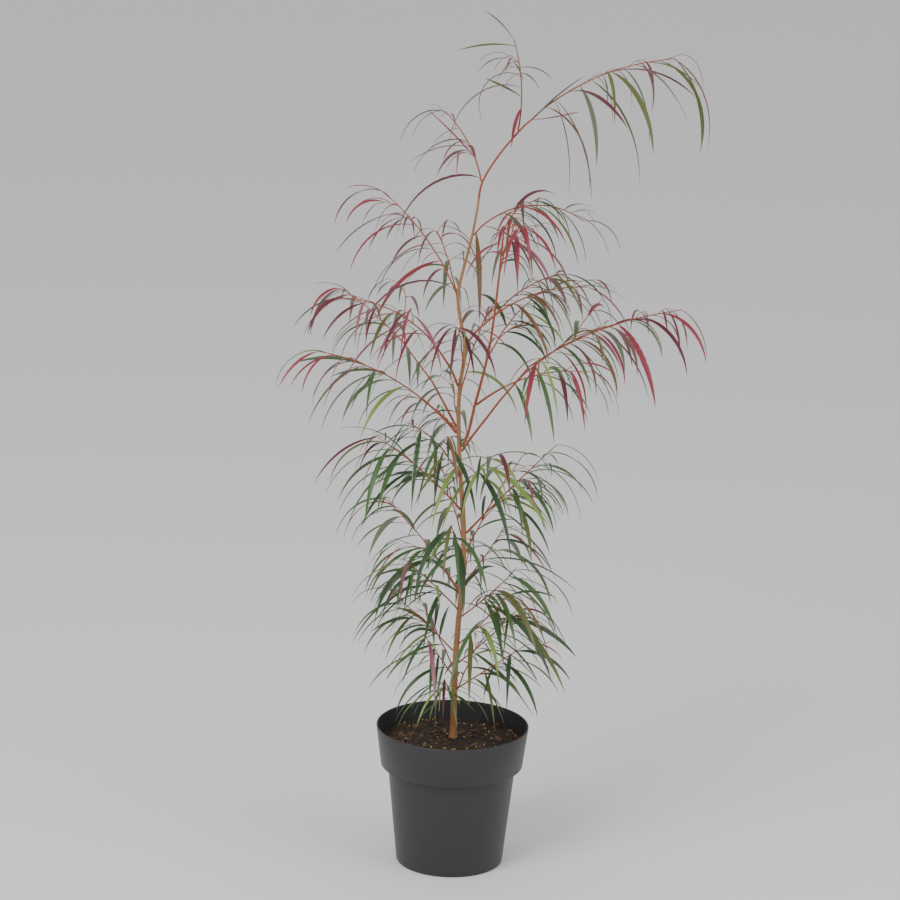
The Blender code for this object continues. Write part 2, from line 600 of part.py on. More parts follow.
def build_pot():
    """nursery pot with a deep rim band, eight drain holes and two hanger slots"""
    band_foot = POT_HEIGHT - BAND_HEIGHT
    ledge = band_foot - LEDGE_DROP
    inner_ledge = ledge + WALL
    outside = [(0, 0), (BASE_RADIUS - EDGE_CHAMFER, 0), (BASE_RADIUS, EDGE_CHAMFER), (BODY_TOP_RADIUS, ledge),
               (BAND_FOOT_RADIUS, band_foot), (RIM_RADIUS, POT_HEIGHT)]
    inside = [(RIM_RADIUS - WALL, POT_HEIGHT), (BAND_FOOT_RADIUS - WALL, band_foot + WALL),
              (BODY_TOP_RADIUS - WALL, inner_ledge), (BASE_RADIUS - WALL, FLOOR), (0, FLOOR)]
    pot = turned("pot", outside + inside, "pot", 0.55)
    cutters = bpy.data.collections.new("pot_cutters")
    bpy.context.scene.collection.children.link(cutters)
    for k in range(DRAIN_HOLES):
        angle = 2 * pi * (k + 0.5) / DRAIN_HOLES
        place = (DRAIN_CIRCLE * cos(angle), DRAIN_CIRCLE * sin(angle), FLOOR / 2)
        add_cutter(f"drain_{k}", bpy.ops.mesh.primitive_cylinder_add, cutters, vertices=12, radius=DRAIN_RADIUS,
                   depth=4 * FLOOR, location=place)
    slot_middle = POT_HEIGHT - SLOT_BELOW_RIM - SLOT_HEIGHT / 2
    for side in (-1, 1):
        slot = add_cutter(f"slot_{side}", bpy.ops.mesh.primitive_cube_add, cutters, size=1.0,
                          location=(side * RIM_RADIUS, 0, slot_middle))
        slot.scale = (8 * WALL, SLOT_WIDTH, SLOT_HEIGHT)
    bpy.context.view_layer.update()
    bore = pot.modifiers.new("holes", "BOOLEAN")
    bore.operation = "DIFFERENCE"
    bore.operand_type = "COLLECTION"
    bore.collection = cutters
    bore.solver = "EXACT"
    bpy.context.view_layer.objects.active = pot
    bpy.ops.object.modifier_apply(modifier=bore.name)
    for cutter in list(cutters.objects):
        bpy.data.objects.remove(cutter)
    bpy.data.collections.remove(cutters)
    return pot


def build_mix():
    """potting mix that fills the pot to just below its rim, 0.3 mm clear of the wall and the floor"""
    band_foot = POT_HEIGHT - BAND_HEIGHT
    ledge = band_foot - LEDGE_DROP + WALL
    inner_rim, inner_band_foot = RIM_RADIUS - WALL, BAND_FOOT_RADIUS - WALL
    rise = (MIX_EDGE - band_foot - WALL) / (POT_HEIGHT - band_foot - WALL)
    edge_radius = inner_band_foot + (inner_rim - inner_band_foot) * rise
    clear = 1.5 * GAP
    profile = [(0, FLOOR + GAP), (BASE_RADIUS - WALL - clear, FLOOR + GAP), (BODY_TOP_RADIUS - WALL - clear, ledge),
               (inner_band_foot - clear, band_foot + WALL + clear), (edge_radius - clear, MIX_EDGE),
               (MIX_FLAT_RADIUS, MIX_MIDDLE), (0, MIX_MIDDLE)]
    return turned("potting_mix", profile, "mix", 0.95)


def build_limbs(limbs):
    """main stem with its flat cut at the mix and its root flare, then the second stem and the boughs"""
    for name, (path, half) in limbs.items():
        is_main = name == "main_stem"
        rings = limb_rings(path, half, MAIN_SIDES if is_main else BOUGH_SIDES, level_foot=is_main)
        limb = new_object(name, *bridge_rings(rings), "bark" if is_main else "red_bark")
        limb.data.shade_smooth()
        limb.data.set_sharp_from_angle(angle=pi / 3)


def main():
    for piece in list(bpy.data.objects):
        bpy.data.objects.remove(piece)
    limbs, masses = grow()
    build_pot()
    build_mix()
    build_limbs(limbs)
    for name, mass in masses.items():
        build_mass(name, mass)


main()
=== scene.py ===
"""Potted willow myrtle: a young shrub with hanging leaves and burgundy tips, in a nursery pot.

The stems, boughs, twigs and leaves are grown by the rule of the CAD model from the same table of shoots,
and then a finer round of young twigs is added. The plant's sizes are in centimetres and degrees, and all
others in metres.
"""
from collections import namedtuple
from math import cos, pi, radians, sin
from random import Random

import bmesh
import bpy
import numpy as np
from mathutils import Matrix, Vector, noise


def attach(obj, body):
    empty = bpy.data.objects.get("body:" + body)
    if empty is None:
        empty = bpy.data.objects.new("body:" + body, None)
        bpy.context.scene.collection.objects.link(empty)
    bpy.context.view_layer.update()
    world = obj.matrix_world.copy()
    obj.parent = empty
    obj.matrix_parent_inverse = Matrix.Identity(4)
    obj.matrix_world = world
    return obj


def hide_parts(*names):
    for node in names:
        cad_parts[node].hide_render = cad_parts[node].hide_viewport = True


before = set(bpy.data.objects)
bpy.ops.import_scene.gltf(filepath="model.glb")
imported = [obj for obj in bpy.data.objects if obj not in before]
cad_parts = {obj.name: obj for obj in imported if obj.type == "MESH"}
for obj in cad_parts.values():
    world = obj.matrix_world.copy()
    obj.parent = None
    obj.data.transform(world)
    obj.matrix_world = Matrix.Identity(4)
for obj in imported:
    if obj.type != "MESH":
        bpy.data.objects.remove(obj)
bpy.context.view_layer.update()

CM = 0.01
# Pot, in metres
POT_HEIGHT = 0.1944
RIM_RADIUS = 0.1037
BAND_HEIGHT = 0.0557
BAND_FOOT_RADIUS = 0.0967
LEDGE_DROP = 0.0035
BODY_TOP_RADIUS = 0.0868
BASE_RADIUS = 0.0729
WALL = 0.0020
FLOOR = 0.0025
DRAIN_HOLES = 8
DRAIN_RADIUS = 0.0055
DRAIN_CIRCLE = 0.0560
SLOT_WIDTH = 0.0070
SLOT_HEIGHT = 0.0090
SLOT_BELOW_RIM = 0.0040
GAP = 0.0003

# Potting mix, in metres
MIX_MIDDLE = 0.1740
MIX_EDGE = 0.1712

# Plant, in centimetres: height, right, back along the two stems
MAIN_GUIDE = (
    (17.43, 0.1, 0.6), (30.0, 0.2, 0.4), (44.0, 0.9, 0.2), (58.0, -0.1, 0.4), (66.0, -0.3, 0.4),
    (72.3, 0.3, 0.3), (79.0, -0.8, 0.3), (87.1, 0.8, 0.2), (94.6, 2.0, 0.0))
SECOND_GUIDE = (
    (57.8, -0.1, 0.4), (60.5, 1.0, -0.2), (64.5, 1.8, -0.8),
    (72.0, 3.4, -1.5), (80.0, 4.3, -1.9), (88.0, 4.9, -1.8))
# Heights of the rings of the main stem, closer at the root flare
MAIN_RINGS = (17.43, 17.8, 18.5, 19.6) + tuple(np.arange(22.0, 94.0, 3.0)) + (94.6,)
# Half width of the main stem at a height
MAIN_HALF = (
    (17.4, 0.62), (18.6, 0.46), (30.0, 0.40), (47.0, 0.33), (72.0, 0.24), (92.0, 0.15), (110.0, 0.11))
# Half width at the heel and at the tip
SECOND_HALF = (0.21, 0.12)
BOUGH_HALF = (0.17, 0.12)
TWIG_HALF = (0.11, 0.06)
SIDE_HALF = (0.08, 0.05)
# The far right bough carries two shoots: the height of its heel, then turn, rise, fall and reach
FORK_HEIGHT = 57.4
FORK_ARC = (20, 54, 46, 15.0)

# A turn of 0 points right, 90 back, 180 left and 270 forward. Slopes are degrees above level.
# bough is the bare share of a shoot's reach, leaf is a leaf's length, lift and hang are its first and last
# slope, splay is how far leaves turn off the shoot's line and sides is the number of side twigs.
Shoot = namedtuple(
    "Shoot", "name stem height turn rise fall reach bough leaves leaf lift hang splay sides tint")
Leaf = namedtuple("Leaf", "path width roll twist tint share")
SHOOTS = (
    Shoot("leader", "top", 94.6, -4, 64, 6, 31.2, .33, 12, 15.5, -22, -100, 36, 0, "tip"),
    Shoot("top_tuft", "main", 101.2, 182, 100, 72, 12.5, 0, 0, 10.5, 20, -62, 60, 0, "tip"),
    Shoot("top_left", "main", 94.2, 168, 80, 42, 11.0, 0, 4, 8.5, 10, -74, 50, 0, "tip"),
    Shoot("upper_left", "main", 79.0, 160, 66, 34, 17.5, 0, 11, 11.5, 15, -74, 40, 0, "tip"),
    Shoot("upper_right", "main", 87.1, 12, 52, -38, 17.0, 0, 10, 10.5, 0, -80, 42, 0, "olive"),
    Shoot("second_top", "second_tip", 88.0, -10, 80, 40, 4.5, 0, 9, 10.5, 10, -86, 85, 0, "burgundy"),
    Shoot("second_high", "second", 85.0, -60, 60, 20, 7.5, 0, 8, 10.0, 10, -80, 65, 0, "burgundy"),
    Shoot("second_back", "second", 81.5, 75, 60, 15, 10.0, 0, 8, 10.5, 10, -76, 55, 0, "burgundy"),
    Shoot("second_middle", "second", 77.0, 5, 55, 10, 11.0, 0, 10, 11.0, 10, -76, 55, 0, "olive"),
    Shoot("second_low", "second", 70.5, 50, 55, 20, 12.0, 0, 10, 11.0, 10, -74, 55, 1, "green"),
    Shoot("right_arch", "main", 72.3, 8, 56, -4, 19.0, .36, 10, 10.5, 0, -80, 45, 0, "olive"),
    Shoot("far_right_upper", "fork", 66.4, 30, 40, 5, 19.0, 0, 12, 12.5, -2, -82, 40, 1, "green_tip"),
    Shoot("far_right_lower", "fork_tip", 69.7, 2, 36, 8, 22.0, 0, 13, 12.5, -8, -90, 40, 1, "tip"),
    Shoot("right_front", "second", 64.5, -42, 40, 6, 21.5, .28, 11, 12.0, 0, -82, 42, 1, "green_tip"),
    Shoot("left_high", "main", 66.3, 218, 66, 10, 25.0, .32, 12, 12.0, 10, -76, 40, 1, "tip"),
    Shoot("left_back", "main", 60.6, 140, 56, 18, 27.0, .32, 13, 11.5, 10, -74, 40, 1, "green_tip"),
    Shoot("left_middle_high", "main", 60.0, 190, 52, 12, 23.0, .32, 14, 12.0, 5, -78, 36, 1, "green_tip"),
    Shoot("left_middle", "main", 49.4, 203, 50, 35, 17.0, .24, 12, 12.5, 10, -76, 42, 1, "green"),
    Shoot("left_low", "main", 38.0, 152, 52, 36, 16.5, 0, 12, 13.0, 5, -76, 42, 1, "green"),
    Shoot("right_middle", "main", 46.2, -20, 50, 46, 19.0, .24, 11, 12.5, 5, -80, 42, 1, "green"),
    Shoot("right_inner", "main", 39.2, 32, 42, 55, 10.0, 0, 10, 12.5, 5, -76, 45, 0, "green"),
    Shoot("right_low", "main", 34.5, -18, 40, 50, 11.0, 0, 10, 13.5, 5, -72, 45, 1, "green"),
    Shoot("right_low_front", "main", 30.6, -52, 40, 46, 15.0, 0, 11, 13.5, 5, -72, 45, 1, "green"),
    Shoot("right_foot", "main", 27.8, 18, 34, 45, 11.0, 0, 10, 12.5, 5, -66, 45, 0, "green"),
    Shoot("foot_front", "main", 24.2, -30, 38, 38, 13.5, 0, 9, 11.0, 5, -66, 45, 0, "green"),
    Shoot("left_low_front", "main", 35.5, 222, 46, 38, 14.0, 0, 11, 13.0, 5, -76, 42, 1, "green"),
    Shoot("left_foot", "main", 29.5, 172, 44, 40, 12.5, 0, 11, 12.0, 5, -70, 42, 0, "green"),
    Shoot("left_foot_front", "main", 25.8, 240, 46, 44, 11.5, 0, 9, 11.0, 5, -72, 45, 0, "green"),
    Shoot("left_foot_back", "main", 27.0, 125, 44, 40, 12.0, 0, 10, 11.5, 5, -68, 45, 0, "green"),
    Shoot("left_inner", "main", 45.0, 118, 58, 45, 13.0, 0, 10, 12.5, 10, -74, 45, 0, "green"),
    Shoot("left_front", "main", 54.0, 236, 54, 24, 17.0, .22, 11, 12.5, 10, -76, 42, 1, "green"),
    Shoot("front_middle", "main", 50.8, -72, 50, 25, 17.0, .22, 11, 12.5, 10, -76, 42, 1, "green"),
    Shoot("front_low", "main", 41.5, -100, 50, 32, 14.0, 0, 10, 12.5, 10, -76, 42, 0, "green"),
    Shoot("front_foot", "main", 21.8, -105, 52, 40, 8.0, 0, 8, 9.5, 5, -70, 60, 0, "green"),
    Shoot("front_high", "main", 69.2, -95, 58, 10, 16.0, 0, 10, 11.5, 10, -74, 42, 0, "green_tip"),
    Shoot("back_foot", "main", 23.0, 60, 50, 40, 9.0, 0, 8, 10.5, 5, -64, 50, 0, "green"),
    Shoot("back_low", "main", 33.0, 82, 46, 35, 15.0, 0, 11, 12.5, 10, -74, 45, 1, "green"),
    Shoot("back_right", "main", 43.0, 55, 50, 30, 18.0, 0, 11, 12.0, 10, -74, 42, 1, "green"),
    Shoot("back_middle", "main", 53.0, 96, 52, 22, 19.0, .22, 12, 12.0, 10, -74, 42, 1, "green"),
    Shoot("back_high", "main", 64.2, 72, 58, 15, 19.0, 0, 11, 11.5, 10, -74, 42, 0, "green_tip"),
    Shoot("back_upper", "main", 76.0, 108, 62, 20, 15.0, 0, 10, 11.0, 10, -74, 42, 0, "green_tip"),
)
PARENTS = {"main": "main_stem", "second": "second_stem", "second_tip": "second_stem",
           "fork": "far_right_bough", "fork_tip": "far_right_bough"}

# Single leaves that the outline rests on: share of the shoot, turn, length, lift, hang, width
KEY_LEAVES = {
    "leader": ((0.02, -4, 9.0, 52, 34, .95), (0.012, -30, 7.5, 10, 18, .8), (0.2, 20, 13.0, -60, -94, .6),
               (0.26, 60, 5.5, 88, 60, .6), (0.99, -12, 14.0, -20, -104, .75)),
    "top_tuft": ((0.99, 184, 5.5, 62, 30, .6), (0.92, 196, 8.0, 14, -16, .6),
                 (0.46, 194, 14.5, 30, -90, .9), (0.58, 166, 11.0, 40, -122, .75),
                 (0.36, 176, 5.5, 34, 18, .6), (0.24, 205, 5.5, -60, -90, .8), (0.68, 4, 5.0, 20, -50, .5)),
    "top_left": ((0.03, 186, 15.5, 25, -82, .95), (0.30, 180, 9.2, 50, 40, .6),
                 (0.44, 200, 9.0, 22, -36, .75), (0.72, 210, 11.0, -48, -72, .7),
                 (0.99, 180, 8.5, 24, -84, .6)),
    "upper_left": ((0.03, 186, 20.0, 42, -96, .95),),
    "upper_right": ((0.10, -20, 17.5, 2, -88, 1.0), (0.02, -80, 12.5, -40, -92, .8)),
    "right_low": ((0.3, -40, 19.0, 10, -62, 1.0),),
    "right_inner": ((0.4, 0, 15.0, 20, -48, .8),),
}

# The rule
SEED = 41
TWIG_STEPS = 7
SIDE_STEPS = 3
FORK_STEPS = 5
LEAF_STEPS = 12
SWAY = 4.0
LEAF_EASE = 0.75
JOIN_GAP = 0.03
HEEL_STEP = 0.01
SHORTEST_STEP = 0.15
LEVEL_ENOUGH = 0.15
FIRST_LEAF = 0.08
FIRST_LEAF_ON_STEM = 0.16
SIDE_LEAVES = 4
TRIES = 12
PERKY_SHARE = 0.14
WIDEST_LEAF = 0.95
ROOM_MARGIN = 0.09
OWN_START = 3
LIMB_OWNER = 100
# Leaves stay this far above the mix, and inside this radius below this height, so they clear the pot
LEAF_FLOOR = 17.75
POT_GUARD = 21.5
POT_REACH = 8.8

LEAF_CHORDS = (0, 5, 12)

# How finely the meshes are drawn
BARK_SIDES = 14
TWIG_SIDES = 6
PATH_DETAIL = 5
POT_STEPS = 128
DRAIN_STEPS = 24
MIX_RINGS = 34
CHIP_SIDES = 6
SHARP_EDGE = 50

# Fine young twigs of a mass, in centimetres and degrees
FINE_SEED = 500
FINE_TWIGS = 4
FINE_SHARE = (0.3, 0.98)
FINE_SPLAY = (-70, 70)
FINE_RISE = (15, 55)
FINE_FALL = (-10, 15)
FINE_REACH = (1.6, 3.6)
FINE_HALF = (0.045, 0.03)
FINE_LEAVES = 3
FIRST_FINE_LEAF = 0.35
FINE_LEAF_STEP = 0.3
FINE_LEAF_SCALE = (0.35, 0.6)

# Leaves and bark, in centimetres: the fold and the relief are shares of a half width
LEAF_FOLD = 0.28
LEAF_BODY = 0.03
STALK_HALF = 0.045
HEEL_SUNK = 0.15
BARK_RELIEF = 0.10
TWIG_RELIEF = 0.06
RELIEF_ALONG = 1.1
RELIEF_AROUND = 1.5
FINER_RELIEF = 3
# Height in metres above which the main stem is red
RED_STEM_FROM = 0.92

# Rounded edges of the pot
RIM_POINTS = 9
FOOT_ROUND = 0.003
FOOT_POINTS = 6
FOOT_ARC = 0.94 * pi / 2
LEDGE_INSET = 0.0008
LEDGE_LIFT = 0.0004
BAND_DROP = 0.0002
BAND_ROUND = 0.0006

# Top of the mix: its lumps are calm near the wall
MIX_RADIUS = 0.1000
MIX_INNER_RADIUS = 0.003
MIX_SUNK = 0.0012
MIX_TOP_FROM = 0.165
MIX_LUMPS = 0.0022
LUMP_GRAIN = 90
LUMP_SLICE = 0.3
FINE_LUMP_GRAIN = 260
FINE_LUMP_SLICE = 5
FINE_LUMP_SHARE = 0.6
CALM_RADIUS = 0.0975
CALM_WIDTH = 0.006

# Bark chips and feed prills on the mix: every ninth is a prill
BARK_CHIPS = 520
CHIP_SEED = 7
CHIP_CIRCLE = 0.097
CHIP_LIMIT = 0.098
SHORTEST_CHIP = 0.0012
LONGEST_CHIP = 0.0075
LEAST_ROOM = 0.0015
CHIP_SPREAD = 520
CHIP_BREADTH = (0.3, 0.6)
CHIP_THICKNESS = (0.0005, 0.0013)
CHIP_TILT = 0.3
CHIP_WOBBLE = (0.75, 1.1)
CHIP_LEVEL = 0.8
PRILL_EVERY = 9
PRILL_SIZE = (0.0013, 0.0012, 0.0011)
PRILL_MARK = 2
CHIP_MARKS = (0, 0, 1)

# Colours of the leaves: each upper side goes with an underside, and each spray takes one from its list
LEAF_ROUGHNESS = 0.42
LEAF_COLOURS = {
    "dark_green": (0.030, 0.068, 0.022), "mid_green": (0.058, 0.118, 0.034), "olive": (0.105, 0.115, 0.030),
    "lime": (0.180, 0.260, 0.055), "bronze": (0.150, 0.075, 0.030), "burgundy": (0.105, 0.016, 0.026),
    "crimson": (0.230, 0.026, 0.042), "dusky_pink": (0.250, 0.080, 0.110),
    "sage": (0.150, 0.195, 0.105), "rose_grey": (0.210, 0.095, 0.095)}
UNDERSIDE = {
    "dark_green": "sage", "mid_green": "sage", "olive": "sage", "lime": "sage",
    "bronze": "rose_grey", "burgundy": "rose_grey", "crimson": "rose_grey", "dusky_pink": "rose_grey"}
REDS = ("burgundy", "burgundy", "crimson", "crimson", "dusky_pink", "bronze", "olive")
GREENS = ("dark_green", "dark_green", "mid_green", "mid_green", "olive", "lime")
OLIVES = ("olive", "olive", "mid_green", "dark_green", "bronze")
SPRAYS = {"tip": REDS, "burgundy": REDS, "olive": OLIVES, "green_tip": GREENS, "green": GREENS}
COLOUR_SEED = 1000
# Share of a shoot from which its leaves may be red
RED_TIP_FROM = {"green_tip": 0.62, "green": 0.90, "olive": 0.75}
NEVER_RED = 2.0
RED_CHANCE = 0.75
MIXED_CHANCE = 0.6

# Grained materials: dark and light colour, grains a metre, roughness, depth of relief, stretch up the height
GRAIN_DETAIL = 6.0
GRAIN_STRENGTH = 0.6
GRAINS = {
    "brown_bark": ((0.20, 0.085, 0.03), (0.42, 0.21, 0.085), 260, 0.55, 0.0006, 0.35),
    "red_bark": ((0.20, 0.035, 0.018), (0.36, 0.085, 0.03), 240, 0.5, 0.0004, 0.35),
    "charcoal_plastic": ((0.022, 0.022, 0.024), (0.034, 0.034, 0.036), 900, 0.42, 0.00012, 1.0),
    "dark_mix": ((0.008, 0.006, 0.005), (0.045, 0.028, 0.018), 700, 0.95, 0.0012, 1.0),
    "bark_chip": ((0.06, 0.03, 0.018), (0.14, 0.075, 0.04), 500, 0.9, 0.0005, 1.0),
    "dark_chip": ((0.02, 0.013, 0.009), (0.06, 0.036, 0.022), 500, 0.9, 0.0005, 1.0)}
PRILL_COLOUR = (0.42, 0.30, 0.10)
PRILL_ROUGHNESS = 0.5
FLOOR_COLOUR = (0.80, 0.80, 0.80)
FLOOR_ROUGHNESS = 0.8
FLOOR_SPECULAR = 0.2
SPECULAR = 0.4

# Studio: each light's name, place, size and power, then the camera's place, angles and lens
FLOOR_SIZE = 60
SKY_STRENGTH = 0.75
LIGHTS = (("key_light", (-1.8, -2.4, 3.0), 1.8, 95), ("fill_light", (2.6, -1.6, 2.0), 2.2, 35))
LIGHT_AIM = (0, 0, 0.6)
CAMERA_PLACE = (-0.0133, -4.807, 1.89)
CAMERA_PITCH = 74.77
CAMERA_ROLL = 1.5
LENS = 149.4
SENSOR = 36.0
FARTHEST_SEEN = 200


def heading(turn, rise):
    """unit vector at a turn from the right and a rise above level"""
    t, r = np.radians(turn), np.radians(rise)
    return np.array([np.cos(t) * np.cos(r), np.sin(t) * np.cos(r), np.sin(r)])


def smooth_through(guide, steps):
    """smooth curve through guide points given as height, right, back"""
    p = np.array([(x, y, z) for z, x, y in guide])
    p = np.vstack([2 * p[0] - p[1], p, 2 * p[-1] - p[-2]])
    points = []
    for a, b, c, d in zip(p[:-3], p[1:-2], p[2:-1], p[3:]):
        for t in np.arange(steps) / steps:
            bend = (2 * a - 5 * b + 4 * c - d) * t + (3 * b - a - 3 * c + d) * t * t
            points.append(b + 0.5 * t * ((c - a) + bend))
    points.append(p[-2])
    return np.array(points)


def arc(start, turn, rise, fall, length, steps, sway=0.0, ease=1.0):
    """points of a limb or leaf whose slope goes from rise to fall along its length"""
    points = [np.array(start, float)]
    for k in range(steps):
        t = (k + 0.5) / steps
        step = heading(turn + sway * (-1) ** k, rise + (fall - rise) * t ** ease)
        points.append(points[-1] + step * length / steps)
    return np.array(points)


def distances(path):
    """distance of each point from the start of its path"""
    return np.append(0.0, np.cumsum(np.linalg.norm(np.diff(path, axis=0), axis=1)))


def along(path, share):
    """point and direction at a share of a path's length"""
    far = distances(path)
    k = min(np.searchsorted(far, share * far[-1], side="right") - 1, len(path) - 2)
    run = (path[k + 1] - path[k]) / (far[k + 1] - far[k])
    return path[k] + run * (share * far[-1] - far[k]), run


def at_height(path, height):
    """point of a rising path at a height"""
    return np.array([np.interp(height, path[:, 2], path[:, axis]) for axis in range(3)])


def cut(path, begin, end):
    """stretch of a path between two distances from its start"""
    far = distances(path)
    inner = path[(far > begin + SHORTEST_STEP) & (far < end - SHORTEST_STEP)]
    first, last = (along(path, distance / far[-1])[0] for distance in (begin, end))
    return np.vstack([first, inner, last])


def taper(path, base, tip):
    """half width at each point of a limb"""
    far = distances(path)
    return base + (tip - base) * far / far[-1]


def nearest(a, b, starts, ends):
    """least distance from the line a to b to each line of a list"""
    u, v, w = b - a, ends - starts, a - starts
    uu, vu, vv = u @ u, v @ u, (v * v).sum(axis=1)
    wu, wv = w @ u, (v * w).sum(axis=1)
    spread = np.maximum(uu * vv - vu * vu, 1e-12)
    s = np.clip((vu * wv - vv * wu) / spread, 0, 1)
    t = np.clip((vu * s + wv) / vv, 0, 1)
    s = np.clip((vu * t - wu) / uu, 0, 1)
    return np.linalg.norm(w + np.outer(s, u) - v * t[:, None], axis=1)


def heel_distance(path, half, parent, parent_half):
    """how far along a side limb its end cap is clear of the parent that it leaves"""
    length = distances(path)[-1]
    distance = 0.0
    while True:
        distance += HEEL_STEP
        point, run = along(path, distance / length)
        k = int(nearest(point, point + run * HEEL_STEP, parent[:-1], parent[1:]).argmin())
        edge = parent[k + 1] - parent[k]
        share = np.clip((point - parent[k]) @ edge / (edge @ edge), 0, 1)
        to_axis = parent[k] + edge * share - point
        clear = np.linalg.norm(to_axis)
        slant = np.sqrt(max(0.0, 1 - (to_axis @ run / clear) ** 2))
        around = parent_half[k] + (parent_half[k + 1] - parent_half[k]) * share
        if clear - half * slant > around + JOIN_GAP:
            return distance


class Crown:
    """every stretch of stem, twig and leaf that already stands, with its half width and its owner"""

    def __init__(self):
        self.starts = np.zeros((0, 3))
        self.ends = np.zeros((0, 3))
        self.half = np.zeros(0)
        self.owner = np.zeros(0, int)

    def add(self, path, half, owner):
        self.starts = np.vstack([self.starts, path[:-1]])
        self.ends = np.vstack([self.ends, path[1:]])
        self.half = np.append(self.half, (half[:-1] + half[1:]) / 2)
        self.owner = np.append(self.owner, np.full(len(path) - 1, owner))

    def is_free(self, path, half, skip):
        """whether a path keeps clear of everything but the owners to skip"""
        others = ~np.isin(self.owner, skip)
        starts, ends, width = self.starts[others], self.ends[others], self.half[others]
        for k in range(len(path) - 1):
            need = width + (half[k] + half[k + 1]) / 2 + ROOM_MARGIN
            if (nearest(path[k], path[k + 1], starts, ends) < need).any():
                return False
        return True


def leaf_half_width(t, width):
    """half width of a willow leaf at a share t of its length"""
    return width / 2 * np.sin(np.pi * np.clip(t, 0, 1) ** 0.72) ** 0.9


def clear_of_pot(path):
    """whether a leaf stays above the mix and off the pot's wall"""
    radius = np.hypot(path[:, 0], path[:, 1])
    return path[:, 2].min() > LEAF_FLOOR and not (radius[path[:, 2] < POT_GUARD] > POT_REACH).any()


def try_leaf(crown, path, width, mass):
    """stands a leaf in the crown if there is room for it; near its root it may touch its own mass"""
    half = leaf_half_width(np.linspace(0, 1, LEAF_STEPS + 1), width)
    chords, chord_half = path[list(LEAF_CHORDS)], half[list(LEAF_CHORDS)]
    chords[0], chord_half[0] = path[1], half[1]
    own_twigs, own_leaves = mass, -1 - mass
    room = (clear_of_pot(path)
            and crown.is_free(path[1:], half[1:], (own_twigs, own_leaves))
            and crown.is_free(path[OWN_START:], half[OWN_START:], (own_twigs,))
            and crown.is_free(chords, chord_half, (own_twigs, own_leaves)))
    if room:
        crown.add(path[1:], half[1:], own_leaves)
    return room


def draw_leaf(rng, shoot, twig, share, side, scale):
    """one leaf by the rule: it leaves its twig at a turn and a lift, arches over and hangs"""
    root, run = along(twig, share)
    level = np.hypot(run[0], run[1]) > LEVEL_ENOUGH
    turn = np.degrees(np.arctan2(run[1], run[0])) if level else shoot.turn
    turn += side * shoot.splay * rng.uniform(0.35, 1.3) + rng.uniform(-12, 12)
    length = shoot.leaf * scale * rng.uniform(0.7, 1.2)
    lift = shoot.lift + rng.uniform(-22, 24)
    hang = shoot.hang + rng.uniform(-8, 14)
    if rng.random() < PERKY_SHARE and side:
        lift += 35
        hang += 45
        length *= 0.8
    width = min(WIDEST_LEAF, length * rng.uniform(0.048, 0.066))
    roll, twist = rng.uniform(-25, 25), rng.uniform(-70, 70)
    path = arc(root, turn, lift, hang, length, LEAF_STEPS, ease=LEAF_EASE)
    return Leaf(path, width, roll, twist, shoot.tint, share)


def add_side_twig(rng, crown, mass, owner, share, side):
    """a short twig that forks from a shoot, where there is room"""
    shoot, stem = mass["shoot"], mass["twigs"][0][0]
    root, run = along(stem, share)
    line = np.degrees(np.arctan2(run[1], run[0]))
    for _ in range(TRIES):
        reach = shoot.reach * rng.uniform(0.34, 0.46)
        turn, rise, fall = line + side * rng.uniform(32, 55), rng.uniform(30, 50), rng.uniform(5, 25)
        path = arc(root, turn, rise, fall, reach, SIDE_STEPS, SWAY)
        half = taper(path, *SIDE_HALF)
        if crown.is_free(path[1:], half[1:], (owner,)):
            crown.add(path, half, owner)
            mass["twigs"].append((path, half))
            return


def add_leaves(rng, crown, mass, owner):
    """the key leaves of a shoot, then leaves on alternate sides along its stem and its side twigs"""
    shoot, stem = mass["shoot"], mass["twigs"][0][0]
    for share, turn, length, lift, hang, width in KEY_LEAVES.get(shoot.name, ()):
        path = arc(along(stem, share)[0], turn, lift, hang, length, LEAF_STEPS, ease=LEAF_EASE)
        if try_leaf(crown, path, width, owner):
            roll, twist = rng.uniform(-15, 15), rng.uniform(-40, 40)
            mass["leaves"].append(Leaf(path, width, roll, twist, shoot.tint, 0.0))
    for number, (twig, _) in enumerate(mass["twigs"]):
        count, scale = (SIDE_LEAVES, 0.85) if number else (shoot.leaves, 1.0)
        first = FIRST_LEAF if number or shoot.bough else FIRST_LEAF_ON_STEM
        for n in range(1, count + 1):
            side = 0 if n == count else (-1) ** n
            for _ in range(TRIES):
                place = (n - rng.uniform(0, 0.45) * (n < count)) / count
                share = first + (1 - first) * place
                leaf = draw_leaf(rng, shoot, twig, share, side, scale * (1 - 0.2 * abs(2 * share - 1)))
                if try_leaf(crown, leaf.path, leaf.width, owner):
                    mass["leaves"].append(leaf)
                    break


